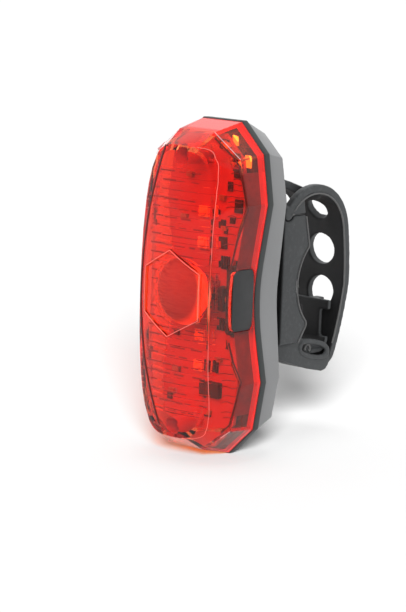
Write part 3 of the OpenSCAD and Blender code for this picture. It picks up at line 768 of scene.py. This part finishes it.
@dataclass
class FrontModule:
    """The red front: lens shell with its lines, ribbed insert, board marks and push button.

    Places on the board and lengths that are drawn at random are in millimetres.
    """

    crease: float = 18.0
    band_w: float = 1.55 * MM
    flank_w: float = 5.6 * MM
    flank_x: float = 7.0 * MM
    corner_z: float = 31.0 * MM
    rim_facing: float = 0.9
    roof_facing: float = 0.8
    post_z: float = 34.5 * MM
    post_r: float = 2.3 * MM
    post_in: float = 4.0 * MM
    hexagon: Triple = (18.3 * MM, 22.1 * MM, 11.6 * MM)
    hexagon_steps: int = 8
    ridge: Pair = (11.6 * MM, 37.2 * MM)
    ridge_power: float = 6.0
    ridge_turn: float = 88.0
    ridge_steps: int = 48
    bow: float = 11.3 * MM
    bow_sag: Pair = (8.5 * MM, 6.2 * MM)
    bow_z: Pair = (-35.0 * MM, 37.0 * MM)
    line_r: float = 0.08 * MM
    shade_r: float = 0.3 * MM
    edge_turn: float = 20.0
    edge_facing: float = 0.05
    edge_across: float = 0.7
    edge_y: Pair = (14.0 * MM, 5.0 * MM)
    edge_in: float = 0.045
    edge_r: float = 0.28 * MM
    glint_x: float = 6.2 * MM
    glint_z: float = 34.5 * MM
    glint_r: float = 0.12 * MM
    seed: int = 7
    rib_pitch: float = 2.35 * MM
    rib_margin: float = 0.5 * MM
    rib_t: float = 0.12 * MM
    rib_out: float = 0.1 * MM
    rib_lengths: Pair = (1.4, 5.0)
    rib_heights: Pair = (0.2, 0.5)
    rib_gaps: Pair = (0.3, 2.4)
    slope_x: Pair = (11.4 * MM, 14.2 * MM)
    slope_z: Pair = (11.5 * MM, 33.0 * MM)
    slope_r: float = 0.1 * MM
    slope_steps: int = 10
    slope_starts: Pair = (0.0, 0.8)
    slope_waves: Pair = (0.15, 0.4)
    slope_gaps: Pair = (0.5, 1.1)
    wall_most: float = 4.0 * MM
    parts: tuple[tuple[float, float, float, float], ...] = (
        (5.6, 37.2, 2.2, 2.2), (9.4, 34.0, 2.2, 2.2), (10.2, 30.6, 2.0, 2.4), (11.0, 22.4, 2.4, 3.4),
        (6.4, 12.6, 3.2, 3.0), (9.2, 18.6, 1.6, 1.6), (8.0, 27.0, 1.4, 2.2), (-8.0, -12.4, 1.6, 1.6),
        (5.4, 17.4, 2.6, 2.2), (7.2, 15.6, 1.2, 1.2), (4.2, 20.0, 0.8, 1.6), (8.4, -13.6, 1.4, 2.2),
        (-7.6, -22.2, 2.4, 1.4), (-9.4, -29.6, 1.4, 1.6), (3.3, -32.5, 1.8, 1.4), (7.2, -2.1, 1.6, 5.4))
    part_t: float = 0.6
    part_out: float = 0.35 * MM
    combs: tuple[Triple, ...] = ((2.2, -19.6, 3.0), (5.0, 7.6, 3.4), (5.0, -8.4, 3.2))
    comb_teeth: int = 5
    comb_pitch: float = 0.9
    comb_w: float = 0.4
    leads: tuple[Pair, ...] = ((7.7, 38.2), (11.9, 33.4))
    lead_size: Triple = (1.6, 0.5, 2.6)
    lead_in: float = 1.2 * MM
    button_edge: float = 0.55 * MM

    def lens(self) -> None:
        """Builds the lens shell, with a frosted rim, roof and posts and a shaded right flank."""
        piece = Forge.add("lens_shell", Forge.merged("lens"))
        Part("lens_shell", RED_LENS, "lens").settle(piece, "lens")
        for finish in (RED_RIM, RED_POST, RIM_SHADE):
            piece.data.materials.append(finish.material())
        rim, post, shade = 1, 2, 3
        band_y = RIM_Y - self.band_w
        flank_y = band_y - self.flank_w
        cuts = [((0.0, y, 0.0), (0.0, 1.0, 0.0)) for y in (band_y, flank_y)]
        cuts += [((0.0, 0.0, MID_Z + z), (0.0, 0.0, 1.0)) for z in (-self.corner_z, self.corner_z)]
        with Forge.edit(piece.data) as work:
            for place, normal in cuts:
                every = [*work.verts, *work.edges, *work.faces]
                bmesh.ops.bisect_plane(work, geom=every, dist=WELD, plane_co=place, plane_no=normal)
            work.normal_update()
            for face in work.faces:
                middle, normal = face.calc_center_median(), face.normal
                up = middle.z - MID_Z
                inward = normal.x * middle.x + normal.z * up < 0.0
                on_flank = inward and middle.y > flank_y
                from_post = hypot(middle.x, abs(up) - self.post_z)
                if from_post < self.post_r and middle.y > LENS_LOW.y + self.post_in:
                    face.material_index = post
                elif middle.y > band_y and (inward or normal.y > self.rim_facing):
                    face.material_index = rim
                elif on_flank and up > self.corner_z and normal.z < -self.roof_facing:
                    face.material_index = rim
                elif on_flank and middle.x > self.flank_x and abs(up) < self.corner_z:
                    face.material_index = shade
        Forge.creases(piece.data, self.crease)

    def lines(self) -> None:
        """Lays the lines on the front panel: pale beads along the hexagon and the right half of the ridge,
        a painted highlight, and the dark bow at its left, a painted shade.
        """
        face = Face("lens")
        wide, tall, side = (size / 2 for size in self.hexagon)
        corners = [(0.0, tall), (wide, side), (wide, -side), (0.0, -tall), (-wide, -side), (-wide, side)]
        steps = self.hexagon_steps
        hexagon = [face.front(x0 + (x1 - x0) * i / steps, MID_Z + z0 + (z1 - z0) * i / steps)
                   for (x0, z0), (x1, z1) in zip(corners, corners[1:] + corners[:1]) for i in range(steps)]
        ridge: list[Vector] = []
        bow: list[Vector] = []
        for i in range(self.ridge_steps + 1):
            turn = radians(self.ridge_turn * (2 * i / self.ridge_steps - 1))
            x, z = oval(turn, *self.ridge, 2 / self.ridge_power)
            ridge.append(face.front(x, MID_Z + z))
            z = self.bow_z[0] + (self.bow_z[1] - self.bow_z[0]) * i / self.ridge_steps
            bow.append(face.front(self.bow_sag[z > 0.0] * (z / self.ridge[1]) ** 2 - self.bow, MID_Z + z))
        Part("ridge_shade", EDGE_SHADE, "lens").beads(self.shade_r, [bow])
        Part("lens_lines", LINE_HIGHLIGHT, "lens").beads(self.line_r, [hexagon + hexagon[:1], ridge])

    def edges(self) -> None:
        """Lays pale beads on the lens's outer side edges at its corners, a painted highlight, and a dark
        bead just inside the wall along all of them, a painted shade.
        """
        centre = Vector((0.0, 0.0, MID_Z))
        bright: list[Route] = []
        dark: list[Route] = []
        for a, b, normals in Forge.sharp("lens", self.edge_turn):
            middle = (a + b) / 2
            out = Vector((middle.x, 0.0, middle.z - MID_Z)).normalized()
            outside = all(normal.dot(out) > self.edge_facing for normal in normals)
            across = abs((b - a).normalized().y) > self.edge_across
            if not outside or across or not RIM_Y - self.edge_y[0] < middle.y < RIM_Y - self.edge_y[1]:
                continue
            # Corner edges get a painted highlight; every edge gets a painted shade just inside the wall.
            if abs(middle.x) > self.glint_x and abs(middle.z - MID_Z) > self.glint_z:
                bright.append([a, b])
            dark.append([end.lerp(centre, self.edge_in) for end in (a, b)])
        Part("lens_edge_glint", GLINT, "lens").beads(self.glint_r, bright)
        Part("lens_edge_shade", EDGE_SHADE, "lens").beads(self.edge_r, dark)

    def ribs(self) -> None:
        """Lays the broken dark lines along the insert's ribs, a painted shade."""
        face = Face("prism_insert")
        dice = random.Random(self.seed)
        half = face.high.x - self.rib_margin
        rows = int((face.high.z - MID_Z) / self.rib_pitch)
        places: list[tuple[Vector, Vector]] = []
        for row in range(-rows, rows + 1):
            z = MID_Z + row * self.rib_pitch
            x = -half
            while x < half:
                length = dice.uniform(*self.rib_lengths) * MM
                point = face.front(x + length / 2, z)
                if point and x + length < half:
                    size = Vector((length, self.rib_t, dice.uniform(*self.rib_heights) * MM))
                    places.append((point - Face.inwards * self.rib_out, size))
                x += length + dice.uniform(*self.rib_gaps) * MM
        Part("rib_lines", RIB_SHADE, "insert").blocks(places)

    def slopes(self) -> None:
        """Lays fine wavy dark ribs, a painted shade, on the inside of the lens's two slopes, above and
        below the button.
        """
        face = Face("lens")
        dice = random.Random(self.seed)
        steps = self.slope_steps
        routes: list[Route] = []
        for side, half in ((-1.0, -1.0), (-1.0, 1.0), (1.0, -1.0), (1.0, 1.0)):
            z = self.slope_z[0]
            while z < self.slope_z[1]:
                start = self.slope_x[0] + dice.uniform(*self.slope_starts) * MM
                wave = dice.uniform(*self.slope_waves) * MM
                path: list[Vector] = []
                for i in range(steps + 1):
                    x = side * (start + (self.slope_x[1] - start) * i / steps)
                    front = face.front(x, MID_Z + half * z + wave * sin(tau * i / steps))
                    inner = face.behind(front) if front else None
                    if inner and inner.y - front.y < self.wall_most:
                        path.append(inner)
                if len(path) > steps // 2:
                    routes.append(path)
                z += self.rib_pitch * dice.uniform(*self.slope_gaps)
        Part("slope_ribs", RIB_SHADE, "lens").beads(self.slope_r, routes)

    def marks(self) -> None:
        """Sets generic small parts and leads on the board, and the ends of the battery leads, which glow as
        painted light.
        """
        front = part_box("circuit_board")[0][1]
        parts = list(self.parts)
        for x, z, tall in self.combs:
            parts += [(x + self.comb_pitch * i, z, self.comb_w, tall) for i in range(self.comb_teeth)]
        places = [(Vector((x * MM, front - self.part_out, MID_Z + z * MM)),
                   Vector((wide, self.part_t, tall)) * MM) for x, z, wide, tall in parts]
        Part("board_parts", CHIP, "chip").blocks(places)
        size = Vector(self.lead_size) * MM
        ends = [(Vector((x * MM, front + self.lead_in, MID_Z + z * MM)), size) for x, z in self.leads]
        Part("glowing_lead_ends", LEAD_GLOW, "brass").blocks(ends)

    def build(self) -> None:
        """Builds the front module's pieces and dresses them."""
        self.lens()
        self.lines()
        self.edges()
        self.ribs()
        self.slopes()
        self.marks()
        Part("button_cap", BUTTON, "button", Body.BUTTON).eased(self.button_edge)


@dataclass
class RearBody:
    """The fixed back: satin shell and seal, with eased edges."""

    shell_edge: float = 0.45 * MM
    seal_edge: float = 0.25 * MM

    def build(self) -> None:
        """Builds the rear pieces and dresses them."""
        Part("housing_shell", HOUSING, "housing", Body.REAR).eased(self.shell_edge)
        Part("seal_ring", SEAL, "seal", Body.REAR).eased(self.seal_edge)


@dataclass
class StrapMount:
    """The rubber mount: saddle, hook and perforated strap, with the flash of their mould drawn lighter as a
    painted highlight, and painted shade on what faces into the strap's loop.

    The cheeks' outline is given in millimetres along y and z.
    """

    voxel: float = 0.26 * MM
    passes: int = 14
    smooth_share: float = 0.5
    inner_shade_facing: Pair = (0.2, 0.7)
    flash_r: float = 0.24 * MM
    flash_step: float = 0.2 * MM
    flash_near: float = 0.01 * MM
    flash_front: float = 4.0 * MM
    flash_turn: float = 50.0
    flash_low: float = -20.0 * MM
    side_facing: float = 0.8
    side_x: float = 5.6 * MM
    loop_facing: float = 0.2
    loop_y: float = 31.0 * MM
    loop_z: float = 3.0 * MM
    root_y: float = 24.0 * MM
    root_facing: float = 0.5
    seam: float = 0.5 * MM
    rim_r: float = 0.75 * MM
    rim_steps: int = 40
    cup_x: float = 6.25 * MM
    cup_size: Pair = (14.0 * MM, 5.6 * MM)
    cup_y: float = 32.9 * MM
    cup_z: float = -20.05 * MM
    cup_tilt: float = -13.0
    cup_power: float = 0.8
    curl_in: float = 0.9
    curl_at: Pair = (-1.8 * MM, 0.5 * MM)
    curl_turn: Pair = (-60.0, 20.0)
    curl_steps: int = 14
    curl_bend: float = 1.1 * MM
    curl_r: float = 0.4 * MM
    cheek_x: Pair = (6.0 * MM, 6.6 * MM)
    cheek_reach: float = 100.0 * MM
    cheek_weld: float = 0.01 * MM
    cheek_edge: float = 0.3 * MM
    cheek_turn: float = 50.0
    cheek_crease: float = 40.0
    chin_x: float = 4.95 * MM
    chin_back: float = 29.5 * MM
    cheek: tuple[Pair, ...] = (
        (17.4, -17.0), (25.7, -16.9), (29.3, -16.8), (34.5, -18.0), (38.5, -20.2), (39.6, -21.8),
        (39.8, -23.6), (39.4, -25.0), (38.2, -26.1), (36.4, -26.4), (29.9, -24.9), (23.7, -22.8),
        (17.4, -20.6))

    def rubber(self) -> None:
        """Builds the rounded saddle, hook and strap, and marks what faces into the strap's loop, for the
        painted shade on that side.
        """
        start, end = self.inner_shade_facing
        for node, body in (("saddle", Body.REAR), ("hook", Body.REAR), ("strap", Body.STRAP)):
            piece = Forge.add(f"{node}_rubber", Forge.merged(node))
            remesh = piece.modifiers.new("remesh", "REMESH")
            remesh.mode = "VOXEL"
            remesh.voxel_size = self.voxel
            remesh.use_smooth_shade = True
            smooth = piece.modifiers.new("smooth", "SMOOTH")
            smooth.factor = self.smooth_share
            smooth.iterations = self.passes
            Forge.bake(piece)
            # The inside share sets how much painted shade each point takes.
            inside = piece.data.attributes.new("inside", "FLOAT", "POINT")
            for row, vert in zip(inside.data, piece.data.vertices):
                row.value = min(1.0, max(0.0, (-vert.normal.y - start) / (end - start)))
            Part(f"{node}_rubber", RUBBER, node, body).settle(piece, node)

    def saddle_flash(self) -> None:
        """Lays the thin flash along both rear edges of the saddle, drawn lighter than the rubber as a
        painted highlight.
        """
        low, high = (Vector(corner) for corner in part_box("saddle"))
        routes: list[Route] = []
        for side in (low.x, high.x):
            rear: dict[int, Vector] = {}
            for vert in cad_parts["saddle"].data.vertices:
                level = round(vert.co.z / self.flash_step)
                on_side = abs(vert.co.x - side) < self.flash_near and low.y + self.flash_front < vert.co.y
                if on_side and (level not in rear or vert.co.y > rear[level].y):
                    rear[level] = vert.co.copy()
            path = [rear[level] for level in sorted(rear)]
            path[-1].z = min(path[-1].z, high.z - self.seam)
            routes.append(path)
        Part("saddle_flash", FLASH_HIGHLIGHT, "saddle", Body.REAR).beads(self.flash_r, routes)

    def strap_flash(self) -> None:
        """Lays the thin flash along the strap's edges that face into its loop, clear of the saddle, drawn
        lighter than the rubber as a painted highlight.
        """
        root_z = Vector(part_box("saddle")[1]).z + self.seam
        loop = Vector((0.0, self.loop_y, MID_Z + self.loop_z))
        routes: list[Route] = []
        for a, b, normals in Forge.sharp("strap", self.flash_turn):
            other, flank = sorted(normals, key=lambda normal: abs(normal.x))
            if abs(flank.x) <= self.side_facing or abs(other.x) > self.side_facing:
                continue
            at_side = flank.x * a.x > 0.0 and abs(a.x) > self.side_x
            in_loop = other.dot((loop - a).normalized()) > self.loop_facing
            clear = min(a.z, b.z) > MID_Z + self.flash_low
            if at_side and in_loop and clear and (a.y > self.root_y or other.y > self.root_facing):
                for end in (a, b):
                    end.z = max(end.z, root_z) if end.y < self.root_y else end.z
                routes.append([a, b])
        Part("strap_flash", FLASH_HIGHLIGHT, "strap", Body.STRAP).beads(self.flash_r, routes)

    def mouth(self) -> list[Vector]:
        """The oval mouth of the hook's cup.

        Returns:
            Its points along y and z, from its middle.
        """
        tilt = Matrix.Rotation(radians(self.cup_tilt), 2)
        wide, tall = (size / 2 - self.rim_r for size in self.cup_size)
        turns = (tau * i / self.rim_steps for i in range(self.rim_steps))
        return [tilt @ Vector(oval(turn, wide, tall, self.cup_power)) for turn in turns]

    def cheeks(self) -> None:
        """Builds the hook's two side cheeks, each a plate round the mouth of the cup."""
        middle = Vector((self.cup_y, MID_Z + self.cup_z))
        corners = [Vector((y * MM, MID_Z + z * MM)) - middle for y, z in self.cheek]
        inner = self.mouth()
        ways = [point.normalized() for point in inner + corners]
        ways.sort(key=lambda way: atan2(way.y, way.x))
        outer: list[Vector] = []
        lips: list[Vector] = []
        for way in ways:
            far = way * self.cheek_reach
            for line, found in ((corners, outer), (inner, lips)):
                hits = [intersect_line_line_2d(Vector((0.0, 0.0)), far, a, b)
                        for a, b in zip(line, line[1:] + line[:1])]
                found.append(max((hit for hit in hits if hit), key=lambda hit: hit.length))
        near, wide = self.cheek_x
        mesh = bpy.data.meshes.new("hook_cheeks")
        with Forge.edit(mesh) as work:
            for side in (-1.0, 1.0):
                loops: list[list[bmesh.types.BMVert]] = []
                for x, edge in ((near, lips), (wide, lips), (wide, outer), (near, outer)):
                    chin = self.chin_x if x == near else x
                    points = [middle + point for point in edge]
                    loops.append([work.verts.new((side * (chin if y < self.chin_back else x), y, z))
                                  for y, z in points])
                for a, b in zip(loops, loops[1:] + loops[:1]):
                    for corner in zip(a, a[1:] + a[:1], b[1:] + b[:1], b):
                        work.faces.new(corner)
            bmesh.ops.remove_doubles(work, verts=work.verts, dist=self.cheek_weld)
            bmesh.ops.recalc_face_normals(work, faces=work.faces)
        piece = Forge.add("hook_cheeks", mesh)
        Forge.ease(piece, self.cheek_edge, self.cheek_turn, self.cheek_crease)
        Part("hook_cheeks", RUBBER, "hook", Body.REAR).settle(piece)

    def cup_rim(self) -> None:
        """Lays the oval rim round both mouths of the hook's cup, with a small curl inside each, drawn
        lighter as a painted highlight.
        """
        middle = Vector((0.0, self.cup_y, MID_Z + self.cup_z))
        mouth = self.mouth()
        first, step = self.curl_turn
        turns = [radians(step * i + first) for i in range(self.curl_steps)]
        bends = [self.curl_bend * Vector((0.0, cos(turn), sin(turn))) for turn in turns]
        rims: list[Route] = []
        curls: list[Route] = []
        for side in (-self.cup_x, self.cup_x):
            rims.append([middle + Vector((side, *point)) for point in mouth + mouth[:1]])
            start = middle + Vector((side * self.curl_in, *self.curl_at))
            curls.append([start + bend for bend in bends])
        Part("cup_rim", RUBBER, "hook", Body.REAR).beads(self.rim_r, rims)
        Part("cup_curl", FLASH_HIGHLIGHT, "hook", Body.REAR).beads(self.curl_r, curls)

    def build(self) -> None:
        """Builds the mount's pieces and dresses them."""
        self.rubber()
        self.saddle_flash()
        self.strap_flash()
        self.cheeks()
        self.cup_rim()


@dataclass(frozen=True)
class Glow:
    """How bright the room is, by how far a direction turns towards an aim."""

    aim: Triple
    span: Pair
    levels: Pair


@dataclass(frozen=True)
class Lamp:
    """A large far soft box, which lights the pieces or the floor and isn't mirrored in them."""

    name: str
    toward: Triple
    spread: float
    strength: float
    floor_only: bool = False

    def hang(self, floor: Piece) -> None:
        """Hangs the lamp.

        Args:
            floor: The floor, which it lights alone or leaves out.
        """
        data = bpy.data.lights.new(self.name, "SUN")
        data.angle = radians(self.spread)
        data.energy = self.strength
        made = Forge.add(self.name, data)
        made.matrix_world = Vector(self.toward).to_track_quat("Z", "Y").to_matrix().to_4x4()
        made.visible_glossy = False
        lit = bpy.data.collections.new(f"{self.name} light")
        lit.objects.link(floor)
        lit.collection_objects[0].light_linking.link_state = "INCLUDE" if self.floor_only else "EXCLUDE"
        made.light_linking.receiver_collection = lit


@dataclass
class Studio:
    """Camera, lights, floor and surroundings."""

    azimuth: float = 40.425
    elevation: float = 9.669
    roll: float = 2.174
    distance: float = 543.7 * MM
    focal_px: float = 2104.45
    target: Triple = (0.0, -1.1 * MM, 43.3 * MM)
    target_px: Pair = (216.02, 286.05)
    image: tuple[int, int] = (406, 612)
    clip: Pair = (0.01, 100.0)
    floor_size: float = 6.0
    floor_cells: int = 8
    glows: tuple[Glow, ...] = (
        Glow((-0.64, 0.76, 0.14), (0.92, 0.99), (0.95, 1.55)),
        Glow((0.64, -0.75, 0.17), (-0.1, 0.8), (1.05, 0.45)),
    )
    lamps: tuple[Lamp, ...] = (
        Lamp("key", (0.3, -0.72, 0.5), 35.0, 2.6),
        Lamp("left", (-0.6, -0.5, 0.7), 60.0, 1.6),
        Lamp("top", (-0.1, 0.3, 0.95), 50.0, 1.2),
        Lamp("floor low", (0.582, -0.684, 0.438), 18.0, 26.0, floor_only=True),
        Lamp("floor high", (-0.04, 0.06, 1.0), 20.0, 2.1, floor_only=True),
    )

    def camera(self) -> None:
        """Places the camera where the photograph was taken from."""
        a, e, r = (radians(x) for x in (self.azimuth, self.elevation, self.roll))
        back = Vector((sin(a) * cos(e), -cos(a) * cos(e), sin(e)))
        level = Vector((cos(a), sin(a), 0.0))
        upright = back.cross(level)
        right = level * cos(r) + upright * sin(r)
        up = upright * cos(r) - level * sin(r)
        aside = (self.image[0] / 2 - self.target_px[0]) / self.focal_px
        above = (self.target_px[1] - self.image[1] / 2) / self.focal_px
        axis = (back - right * aside - up * above).normalized()
        right = (right - axis * right.dot(axis)).normalized()
        up = axis.cross(right)
        data = bpy.data.cameras.new("camera")
        data.lens = self.focal_px / max(self.image) * data.sensor_width
        data.clip_start, data.clip_end = self.clip
        made = Forge.add("camera", data)
        place = Matrix((right, up, axis)).transposed().to_4x4()
        place.translation = Vector(self.target) + back * self.distance
        made.matrix_world = place
        bpy.context.scene.camera = made

    def surroundings(self) -> bpy.types.World:
        """A white room that is brightest behind the light, and dimmer on the camera's side.

        Returns:
            The world.
        """
        world = bpy.data.worlds.new("white room")
        world.use_nodes = True
        world.node_tree.nodes.clear()
        sheet = Sheet(world.node_tree)
        place = sheet.add("TexCoord")
        product = sheet.add("Math", operation="MULTIPLY")
        for i, glow in enumerate(self.glows):
            turn = sheet.add("VectorMath", {1: Vector(glow.aim).normalized()}, operation="DOT_PRODUCT")
            sheet.wire((place, "Generated", turn, 0))
            sheet.link(sheet.ramp(turn.outputs["Value"], glow.levels, glow.span), product.inputs[i])
        room = sheet.add("Background", {"Color": (1.0, 1.0, 1.0, 1.0)})
        sheet.wire((product, "Value", room, "Strength"), (room, 0, sheet.add("OutputWorld"), "Surface"))
        return world

    def build(self) -> None:
        """Sets up the camera, the surroundings, the floor and the lamps."""
        self.camera()
        scene = bpy.context.scene
        scene.view_settings.view_transform = "Standard"
        scene.world = self.surroundings()
        mesh = bpy.data.meshes.new("floor")
        with Forge.edit(mesh) as work:
            cells = self.floor_cells
            bmesh.ops.create_grid(work, x_segments=cells, y_segments=cells, size=self.floor_size)
        floor = Forge.add("floor", mesh)
        mesh.materials.append(FLOOR.material())
        for lamp in self.lamps:
            lamp.hang(floor)


def main() -> None:
    """Builds the light's pieces in order."""
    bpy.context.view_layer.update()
    Studio().build()
    dress_nodes()
    FrontModule().build()
    RearBody().build()
    StrapMount().build()


if __name__ == "__main__":
    logging.basicConfig(level=logging.INFO, format="%(message)s")
    main()
